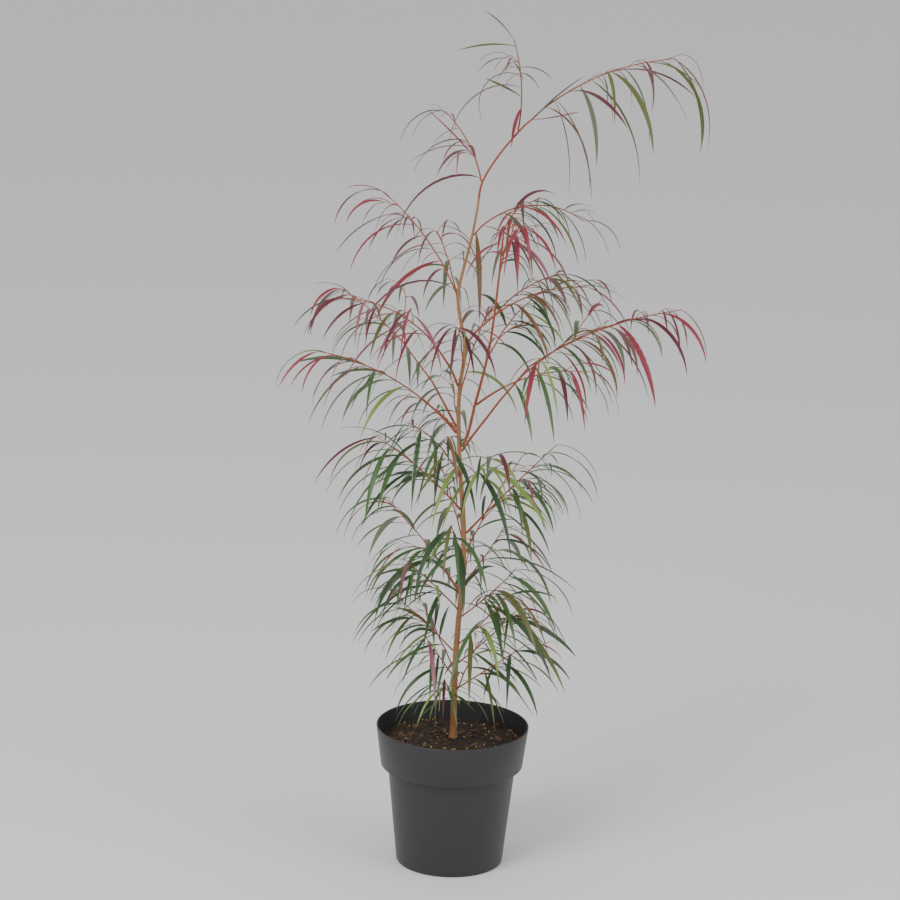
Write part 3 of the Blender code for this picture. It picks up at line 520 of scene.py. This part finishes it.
def grow_limbs():
    """the stems, the boughs and the bare stem of every mass, each 0.3 mm clear of what it leaves"""
    leader = SHOOTS[0]
    guide = smooth_through(MAIN_GUIDE, 6)
    guide = np.array([at_height(guide, height) for height in MAIN_RINGS])
    leader_path = arc(guide[-1], leader.turn, leader.rise, leader.fall, leader.reach, TWIG_STEPS, SWAY)
    bare = leader.bough * leader.reach
    main = np.vstack([guide, cut(leader_path, 0, bare)[1:]])
    limbs = {"main_stem": (main, np.interp(main[:, 2], *zip(*MAIN_HALF)))}
    second = smooth_through(SECOND_GUIDE, 3)
    second = cut(second, heel_distance(second, SECOND_HALF[0], *limbs["main_stem"]), distances(second)[-1])
    limbs["second_stem"] = (second, taper(second, *SECOND_HALF))
    fork = arc(at_height(main, FORK_HEIGHT), *FORK_ARC, FORK_STEPS, SWAY)
    fork = cut(fork, heel_distance(fork, BOUGH_HALF[0], *limbs["main_stem"]), distances(fork)[-1])
    limbs["far_right_bough"] = (fork, taper(fork, *BOUGH_HALF))
    masses = {}
    for shoot in SHOOTS:
        if shoot is leader:
            path, begin = leader_path, bare + JOIN_GAP
        else:
            parent = limbs[PARENTS[shoot.stem]]
            at_tip = shoot.stem.endswith("_tip")
            root = parent[0][-1] if at_tip else at_height(parent[0], shoot.height)
            path = arc(root, shoot.turn, shoot.rise, shoot.fall, shoot.reach, TWIG_STEPS, SWAY)
            if at_tip:
                bend = np.linalg.norm(np.cross(along(parent[0], 1.0)[1], along(path, 0.0)[1]))
                begin = JOIN_GAP + BOUGH_HALF[1] * bend
            else:
                begin = heel_distance(path, (BOUGH_HALF if shoot.bough else TWIG_HALF)[0], *parent)
            if shoot.bough:
                bare = shoot.bough * shoot.reach
                bough = cut(path, begin, bare)
                limbs[shoot.name + "_bough"] = (bough, taper(bough, *BOUGH_HALF))
                begin = bare + JOIN_GAP
        twig = cut(path, begin, shoot.reach)
        masses[shoot.name] = {"shoot": shoot, "twigs": [(twig, taper(twig, *TWIG_HALF))], "leaves": []}
    return limbs, masses


def grow():
    """the whole plant: its limbs, and the twigs and leaves of every mass"""
    limbs, masses = grow_limbs()
    crown = Crown()
    for owner, (path, half) in enumerate(limbs.values(), LIMB_OWNER):
        crown.add(path, half, owner)
    for owner, mass in enumerate(masses.values()):
        crown.add(*mass["twigs"][0], owner)
    for owner, mass in enumerate(masses.values()):
        rng = Random(SEED + owner)
        for j in range(mass["shoot"].sides):
            add_side_twig(rng, crown, mass, owner, 0.3 + 0.28 * j, (-1) ** (owner + j))
        add_leaves(rng, crown, mass, owner)
    for owner, mass in enumerate(masses.values()):
        mass["fine"] = []
        add_fine_twigs(Random(FINE_SEED + owner), crown, mass, owner)
    return limbs, masses


def add_fine_twigs(rng, crown, mass, owner):
    """short young twigs with small leaves, from the shoots that already stand"""
    for _ in range(FINE_TWIGS):
        twig = rng.choice([path for path, _ in mass["twigs"]])
        share = rng.uniform(*FINE_SHARE)
        root, run = along(twig, share)
        line = np.degrees(np.arctan2(run[1], run[0]))
        turn, rise, fall = line + rng.uniform(*FINE_SPLAY), rng.uniform(*FINE_RISE), rng.uniform(*FINE_FALL)
        path = arc(root, turn, rise, fall, rng.uniform(*FINE_REACH), SIDE_STEPS, SWAY)
        half = np.linspace(*FINE_HALF, len(path))
        if not crown.is_free(path[1:], half[1:], (owner,)):
            continue
        crown.add(path, half, owner)
        mass["fine"].append((path, half))
        for n in range(FINE_LEAVES):
            scale = rng.uniform(*FINE_LEAF_SCALE)
            leaf = draw_leaf(rng, mass["shoot"], path, FIRST_FINE_LEAF + FINE_LEAF_STEP * n, n - 1, scale)
            leaf = leaf._replace(share=share)
            if try_leaf(crown, leaf.path, leaf.width, owner):
                mass["leaves"].append(leaf)


def plain_material(name, colour, roughness, specular=SPECULAR):
    """Principled material of one colour"""
    material = bpy.data.materials.new(name)
    material.use_nodes = True
    shader = material.node_tree.nodes["Principled BSDF"]
    shader.inputs["Base Color"].default_value = (*colour, 1.0)
    shader.inputs["Roughness"].default_value = roughness
    shader.inputs["Specular IOR Level"].default_value = specular
    return material


def grained_material(name):
    """material whose colour and relief follow noise in its Object coordinates"""
    dark, light, scale, roughness, depth, stretch = GRAINS[name]
    material = plain_material(name, dark, roughness)
    tree = material.node_tree
    shader = tree.nodes["Principled BSDF"]
    place = tree.nodes.new("ShaderNodeTexCoord")
    stretcher = tree.nodes.new("ShaderNodeMapping")
    stretcher.inputs["Scale"].default_value = (1.0, 1.0, stretch)
    grain = tree.nodes.new("ShaderNodeTexNoise")
    grain.inputs["Scale"].default_value = scale
    grain.inputs["Detail"].default_value = GRAIN_DETAIL
    mixer = tree.nodes.new("ShaderNodeMix")
    mixer.data_type = "RGBA"
    mixer.inputs[6].default_value = (*dark, 1.0)
    mixer.inputs[7].default_value = (*light, 1.0)
    bump = tree.nodes.new("ShaderNodeBump")
    bump.inputs["Strength"].default_value = GRAIN_STRENGTH
    bump.inputs["Distance"].default_value = depth
    tree.links.new(place.outputs["Object"], stretcher.inputs["Vector"])
    tree.links.new(stretcher.outputs["Vector"], grain.inputs["Vector"])
    tree.links.new(grain.outputs["Fac"], mixer.inputs["Factor"])
    tree.links.new(mixer.outputs[2], shader.inputs["Base Color"])
    tree.links.new(grain.outputs["Fac"], bump.inputs["Height"])
    tree.links.new(bump.outputs["Normal"], shader.inputs["Normal"])
    return material


def make_piece(name, points, faces, materials, marks, node):
    """mesh object in the row frame that rides on the plant and stands for its CAD node"""
    mesh = bpy.data.meshes.new(name)
    mesh.from_pydata([tuple(point) for point in points], [], faces)
    for material in materials:
        mesh.materials.append(material)
    mesh.polygons.foreach_set("material_index", marks)
    form = bmesh.new()
    form.from_mesh(mesh)
    bmesh.ops.recalc_face_normals(form, faces=form.faces)
    form.to_mesh(mesh)
    form.free()
    mesh.shade_smooth()
    mesh.set_sharp_from_angle(angle=radians(SHARP_EDGE))
    piece = bpy.data.objects.new(name, mesh)
    bpy.context.scene.collection.objects.link(piece)
    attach(piece, "root")
    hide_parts(node)
    return piece


def leaf_mesh(leaf):
    """points and faces of a willow leaf folded along its midrib, and which faces are upper ones"""
    path = leaf.path
    level = path[LEAF_CHORDS[1]] - path[0]
    side = np.array([-level[1], level[0], 0.0])
    side = side / np.linalg.norm(side)
    half = leaf_half_width(np.linspace(0, 1, LEAF_STEPS + 1), leaf.width)
    half = np.maximum(half, STALK_HALF)
    points = []
    for k in range(LEAF_STEPS):
        run = path[k + 1] - path[k]
        run = run / np.linalg.norm(run)
        turn = np.radians(leaf.roll + leaf.twist * k / LEAF_STEPS)
        across = side * np.cos(turn) + np.cross(run, side) * np.sin(turn)
        below = np.cross(across, run)
        fold = below * half[k] * LEAF_FOLD
        points += [path[k] + across * half[k], path[k] + fold, path[k] - across * half[k],
                   path[k] + fold + below * LEAF_BODY]
    points.append(path[-1])
    tip = len(points) - 1
    faces, upper = [(3, 2, 1, 0)], [False]
    for k in range(LEAF_STEPS):
        for n in range(4):
            a, b = 4 * k + n, 4 * k + (n + 1) % 4
            faces.append((a, b, b + 4, a + 4) if k < LEAF_STEPS - 1 else (a, b, tip))
            upper.append(n < 2)
    return points, faces, upper


def fine_path(path, half):
    """the same limb with more points along it"""
    smooth = smooth_through([(z, x, y) for x, y, z in path], PATH_DETAIL)
    widths = np.interp(np.linspace(0, len(path) - 1, len(smooth)), np.arange(len(path)), half)
    return smooth, widths


def limb_mesh(path, half, sides, relief, heel=HEEL_SUNK, level_foot=False):
    """points and faces of a limb with a little relief in its bark"""
    path, half = fine_path(path, half)
    runs = np.diff(path, axis=0)
    runs = runs / np.linalg.norm(runs, axis=1)[:, None]
    path[0] = path[0] - runs[0] * heel
    across = np.cross(runs[0], (0.0, 1.0, 0.0))
    points = []
    for k, point in enumerate(path):
        run = runs[max(k - 1, 0)] + runs[min(k, len(runs) - 1)]
        run = run / np.linalg.norm(run)
        across = across - run * (across @ run)
        across = across / np.linalg.norm(across)
        up = np.cross(run, across)
        for n in range(sides):
            out = across * cos(2 * pi * n / sides) + up * sin(2 * pi * n / sides)
            spot = Vector(point * RELIEF_ALONG + out * RELIEF_AROUND)
            swell = 1 + relief * (noise.noise(spot) + 0.5 * noise.noise(spot * FINER_RELIEF))
            ring_point = point + out * half[k] * swell
            if level_foot and k == 0:
                ring_point[2] = point[2]
            points.append(ring_point)
    last = (len(path) - 1) * sides
    faces = [tuple(reversed(range(sides))), tuple(last + n for n in range(sides))]
    for low in range(0, last, sides):
        for n in range(sides):
            a, b = low + n, low + (n + 1) % sides
            faces.append((a, b, b + sides, a + sides))
    return points, faces


def joined(parts):
    """one list of points, in metres, and one of faces from many parts in centimetres"""
    points, faces = [], []
    for some_points, some_faces in parts:
        start = len(points)
        points += list(some_points)
        faces += [tuple(start + corner for corner in face) for face in some_faces]
    return np.array(points) * CM, faces


def leaf_colour(rng, leaf, spray):
    """upper colour of a leaf: its spray's, or a red one near the tip of a shoot"""
    if leaf.share > RED_TIP_FROM.get(leaf.tint, NEVER_RED) and rng.random() < RED_CHANCE:
        return rng.choice(REDS)
    return rng.choice(SPRAYS[leaf.tint]) if rng.random() < MIXED_CHANCE else spray


def build_limbs(limbs, brown, red):
    """stems and boughs with their bark; the main stem is brown, and red near its top"""
    for name, (path, half) in limbs.items():
        is_main = name == "main_stem"
        heel = 0.0 if is_main else HEEL_SUNK
        points, faces = joined([limb_mesh(path, half, BARK_SIDES, BARK_RELIEF, heel, is_main)])
        materials = (brown, red) if is_main else (red,)
        marks = [int(is_main and points[face[0]][2] > RED_STEM_FROM) for face in faces]
        make_piece(name + "_bark", points, faces, materials, marks, name)


def build_masses(masses, red):
    """twigs and leaves of each mass, with the leaf colours dealt out by spray"""
    names = list(LEAF_COLOURS)
    leaf_materials = [plain_material("leaf_" + name, LEAF_COLOURS[name], LEAF_ROUGHNESS) for name in names]
    for owner, (name, mass) in enumerate(masses.items()):
        rng = Random(COLOUR_SEED + owner)
        twigs = mass["twigs"] + mass["fine"]
        points, faces = joined([limb_mesh(path, half, TWIG_SIDES, TWIG_RELIEF) for path, half in twigs])
        make_piece(name + "_twigs", points, faces, (red,), [0] * len(faces), "foliage_" + name)
        spray = rng.choice(SPRAYS[mass["shoot"].tint])
        parts, marks = [], []
        for leaf in mass["leaves"]:
            leaf_points, leaf_faces, upper = leaf_mesh(leaf)
            colour = leaf_colour(rng, leaf, spray)
            top, under = names.index(colour), names.index(UNDERSIDE[colour])
            parts.append((leaf_points, leaf_faces))
            marks += [top if is_upper else under for is_upper in upper]
        points, faces = joined(parts)
        make_piece(name + "_leaves", points, faces, leaf_materials, marks, "foliage_" + name)


def turned(profile, lumps=None):
    """points and faces of a round body whose profile starts and ends on the axis, its top lumpy if asked"""
    points = [(0.0, 0.0, profile[0][1])]
    for radius, height in profile[1:-1]:
        for k in range(POT_STEPS):
            x, y = radius * cos(2 * pi * k / POT_STEPS), radius * sin(2 * pi * k / POT_STEPS)
            lump = lumps(x, y, radius) if lumps and height > MIX_TOP_FROM else 0.0
            points.append((x, y, height + lump))
    points.append((0.0, 0.0, profile[-1][1]))
    top = len(points) - 1
    faces = []
    for k in range(POT_STEPS):
        n = (k + 1) % POT_STEPS
        faces += [(0, 1 + n, 1 + k), (top, top - POT_STEPS + k, top - POT_STEPS + n)]
        for low in range(1, top - POT_STEPS, POT_STEPS):
            faces.append((low + k, low + n, low + n + POT_STEPS, low + k + POT_STEPS))
    return points, faces


def pot_profile():
    """radius and height up the pot's outside, over its rounded rim and down its inside"""
    band_foot = POT_HEIGHT - BAND_HEIGHT
    ledge = band_foot - LEDGE_DROP
    foot = [(BASE_RADIUS - FOOT_ROUND + FOOT_ROUND * sin(a), FOOT_ROUND - FOOT_ROUND * cos(a))
            for a in np.linspace(0, FOOT_ARC, FOOT_POINTS)]
    band = [(BODY_TOP_RADIUS, ledge), (BODY_TOP_RADIUS + LEDGE_INSET, ledge + LEDGE_LIFT),
            (BAND_FOOT_RADIUS - LEDGE_INSET, band_foot - BAND_DROP),
            (BAND_FOOT_RADIUS, band_foot + BAND_ROUND)]
    rim = [(RIM_RADIUS + WALL / 2 * (cos(a) - 1), POT_HEIGHT - WALL / 2 + WALL / 2 * sin(a))
           for a in np.linspace(0, pi, RIM_POINTS)]
    inside = [(BAND_FOOT_RADIUS - WALL, band_foot + WALL), (BODY_TOP_RADIUS - WALL, ledge + WALL),
              (BASE_RADIUS - WALL, FLOOR), (0, FLOOR)]
    return [(0, 0)] + foot + band + rim + inside


def cut_away(piece, cutter):
    """takes a cutter out of a piece and removes the cutter"""
    hole = piece.modifiers.new("hole", "BOOLEAN")
    hole.object = cutter
    hole.operation = "DIFFERENCE"
    hole.solver = "EXACT"
    bpy.context.view_layer.objects.active = piece
    bpy.ops.object.modifier_apply(modifier=hole.name)
    bpy.data.objects.remove(cutter)


def build_pot():
    """nursery pot with a rounded rim and foot, a deep band, drain holes and hanger slots"""
    points, faces = turned(pot_profile())
    plastic = grained_material("charcoal_plastic")
    pot = make_piece("nursery_pot", points, faces, (plastic,), [0] * len(faces), "pot")
    for k in range(DRAIN_HOLES):
        angle = 2 * pi * (k + 0.5) / DRAIN_HOLES
        place = (DRAIN_CIRCLE * cos(angle), DRAIN_CIRCLE * sin(angle), FLOOR / 2)
        bpy.ops.mesh.primitive_cylinder_add(
            vertices=DRAIN_STEPS, radius=DRAIN_RADIUS, depth=4 * FLOOR, location=place)
        cut_away(pot, bpy.context.active_object)
    slot_height = POT_HEIGHT - SLOT_BELOW_RIM - SLOT_HEIGHT / 2
    for side in (-1, 1):
        bpy.ops.mesh.primitive_cube_add(size=1.0, location=(side * RIM_RADIUS, 0, slot_height))
        bpy.context.active_object.scale = (8 * WALL, SLOT_WIDTH, SLOT_HEIGHT)
        cut_away(pot, bpy.context.active_object)


def mix_height(radius):
    """height of the domed mix at a distance from its middle, before its lumps"""
    return MIX_EDGE + (MIX_MIDDLE - MIX_EDGE) * (1 - radius / MIX_RADIUS) - MIX_SUNK


def mix_lump(x, y, radius):
    """how far the mix stands above or below its dome at a place"""
    calm = min(1.0, max(0.0, (CALM_RADIUS - radius) / CALM_WIDTH))
    coarse = noise.noise(Vector((x * LUMP_GRAIN, y * LUMP_GRAIN, LUMP_SLICE)))
    fine = noise.noise(Vector((x * FINE_LUMP_GRAIN, y * FINE_LUMP_GRAIN, FINE_LUMP_SLICE)))
    return MIX_LUMPS * calm * (coarse + FINE_LUMP_SHARE * fine)


def build_mix():
    """dark mix with an uneven top, 0.6 mm clear of the pot's wall"""
    band_foot = POT_HEIGHT - BAND_HEIGHT
    inset = WALL + 2 * GAP
    top = [(radius, mix_height(radius)) for radius in np.linspace(MIX_RADIUS, MIX_INNER_RADIUS, MIX_RINGS)]
    profile = [(0, FLOOR + GAP), (BASE_RADIUS - inset, FLOOR + GAP),
               (BODY_TOP_RADIUS - inset, band_foot - LEDGE_DROP + WALL),
               (BAND_FOOT_RADIUS - inset, band_foot + 2 * WALL)] + top + [(0, MIX_MIDDLE - MIX_SUNK)]
    points, faces = turned(profile, mix_lump)
    dark = grained_material("dark_mix")
    make_piece("mix_bed", points, faces, (dark,), [0] * len(faces), "potting_mix")


def chip_size(rng, is_prill, room):
    """half length, half breadth and half thickness of a chip or prill"""
    if is_prill:
        return PRILL_SIZE
    long_half = min(SHORTEST_CHIP + rng.expovariate(CHIP_SPREAD), LONGEST_CHIP, room)
    return long_half, long_half * rng.uniform(*CHIP_BREADTH), rng.uniform(*CHIP_THICKNESS)


def chip_points(rng, place, size):
    """uneven lower and upper rim of a flat chip that is turned and tilted at a place"""
    turn = Matrix.Rotation(rng.uniform(0, pi), 3, "Z")
    spin = turn @ Matrix.Rotation(rng.uniform(-CHIP_TILT, CHIP_TILT), 3, "Y")
    points = []
    for level in (-1, 1):
        for k in range(CHIP_SIDES):
            angle, wobble = 2 * pi * k / CHIP_SIDES, rng.uniform(*CHIP_WOBBLE)
            flat = Vector((size[0] * cos(angle) * wobble, size[1] * sin(angle) * wobble,
                           level * size[2] * CHIP_LEVEL))
            corner = spin @ flat
            points.append((place[0] + corner.x, place[1] + corner.y, place[2] + corner.z))
    return points


def build_chips():
    """bark chips and small feed prills lying on the mix"""
    rng = Random(CHIP_SEED)
    points, faces, marks = [], [], []
    for number in range(BARK_CHIPS):
        radius, turn = CHIP_CIRCLE * rng.random() ** 0.5, rng.uniform(0, 2 * pi)
        x, y = radius * cos(turn), radius * sin(turn)
        is_prill = number % PRILL_EVERY == 0
        size = chip_size(rng, is_prill, max(LEAST_ROOM, CHIP_LIMIT - radius))
        ground = mix_height(radius) + mix_lump(x, y, radius) + size[2] * 0.5
        low, high = len(points), len(points) + CHIP_SIDES
        points += chip_points(rng, (x, y, ground), size)
        faces += [tuple(low + k for k in reversed(range(CHIP_SIDES))), tuple(range(high, high + CHIP_SIDES))]
        for k in range(CHIP_SIDES):
            n = (k + 1) % CHIP_SIDES
            faces.append((low + k, low + n, high + n, high + k))
        marks += [PRILL_MARK if is_prill else rng.choice(CHIP_MARKS)] * (CHIP_SIDES + 2)
    materials = (grained_material("bark_chip"), grained_material("dark_chip"),
                 plain_material("feed_prill", PRILL_COLOUR, PRILL_ROUGHNESS))
    make_piece("mix_chips", points, faces, materials, marks, "potting_mix")


def build_floor():
    """pale plain floor"""
    bpy.ops.mesh.primitive_plane_add(size=FLOOR_SIZE, location=(0, 0, 0))
    floor = bpy.context.active_object
    floor.name = "floor"
    floor.data.materials.append(plain_material("pale_floor", FLOOR_COLOUR, FLOOR_ROUGHNESS, FLOOR_SPECULAR))


def build_lights():
    """even white surroundings and two large soft lights"""
    world = bpy.context.scene.world or bpy.data.worlds.new("studio")
    bpy.context.scene.world = world
    world.use_nodes = True
    world.node_tree.nodes["Background"].inputs["Color"].default_value = (1, 1, 1, 1)
    world.node_tree.nodes["Background"].inputs["Strength"].default_value = SKY_STRENGTH
    for name, place, size, power in LIGHTS:
        light = bpy.data.lights.new(name, "AREA")
        light.energy = power
        light.size = size
        lamp = bpy.data.objects.new(name, light)
        lamp.location = place
        lamp.rotation_euler = (Vector(LIGHT_AIM) - Vector(place)).to_track_quat("-Z", "Y").to_euler()
        bpy.context.scene.collection.objects.link(lamp)


def build_camera():
    """camera at the photo's place, pitched down and rolled a little"""
    camera = bpy.data.objects.new("camera", bpy.data.cameras.new("camera"))
    camera.data.lens = LENS
    camera.data.sensor_width = SENSOR
    camera.data.clip_end = FARTHEST_SEEN
    pitch = Matrix.Rotation(radians(CAMERA_PITCH), 4, "X")
    roll = Matrix.Rotation(radians(CAMERA_ROLL), 4, "Z")
    camera.matrix_world = Matrix.Translation(CAMERA_PLACE) @ pitch @ roll
    bpy.context.scene.collection.objects.link(camera)
    bpy.context.scene.camera = camera


bpy.ops.object.select_all(action="DESELECT")
limbs, masses = grow()
red_bark = grained_material("red_bark")
build_limbs(limbs, grained_material("brown_bark"), red_bark)
build_masses(masses, red_bark)
build_pot()
build_mix()
build_chips()
build_floor()
build_lights()
build_camera()
